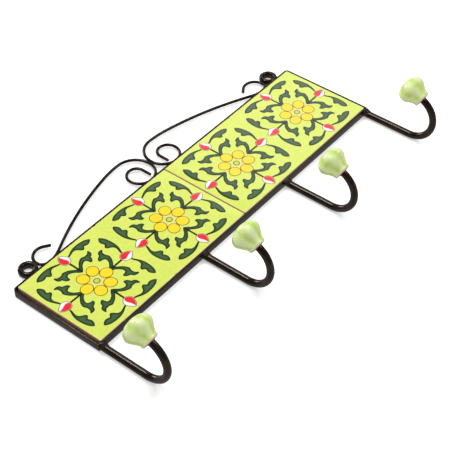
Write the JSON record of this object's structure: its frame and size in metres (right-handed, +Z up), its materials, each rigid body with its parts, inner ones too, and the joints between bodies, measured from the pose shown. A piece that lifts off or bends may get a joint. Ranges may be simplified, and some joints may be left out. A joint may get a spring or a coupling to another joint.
{
  "type": "wall hook rack",
  "caption": "Wall hook rack: painted floral tiles in a black iron frame, wire scrolls and screw eyelets on top, bent rod hooks with scalloped ceramic knobs below.",
  "frame": {"origin": "midway between the two screw eyelets' holes, on the wall plane", "axes": "+X along the rack to the right as seen from the room, +Y into the wall, +Z up"},
  "size_m": [0.3291, 0.0549, 0.1733],
  "materials": {
    "iron": "black satin paint, slightly uneven",
    "tile_glaze": "lime glaze with a painted floral motif",
    "knob_glaze": "pale lime gloss glaze, thinner on the ridges",
    "knob_cement": "rough, unglazed, pinkish",
    "mortar": "matt brown"
  },
  "bodies": {
    "root": {"frame_top": "iron", "frame_bottom": "iron", "frame_left": "iron", "frame_right": "iron", "ledge_top": "iron", "ledge_bottom": "iron", "ledge_left": "iron", "ledge_right": "iron", "hook_1": "iron", "hook_2": "iron", "hook_3": "iron", "hook_4": "iron", "scroll_left": "iron", "scroll_right": "iron", "eyelet_left": "iron", "eyelet_right": "iron", "hook_welds": "iron", "crest_welds": "iron", "tile_1": "tile_glaze", "tile_2": "tile_glaze", "tile_3": "tile_glaze", "tile_4": "tile_glaze", "knob_1": "knob_glaze", "knob_2": "knob_glaze", "knob_3": "knob_glaze", "knob_4": "knob_glaze", "knob_cement_1": "knob_cement", "knob_cement_2": "knob_cement", "knob_cement_3": "knob_cement", "knob_cement_4": "knob_cement", "tile_adhesive": "mortar", "centre_grout": "mortar"}
  },
  "joints": []
}
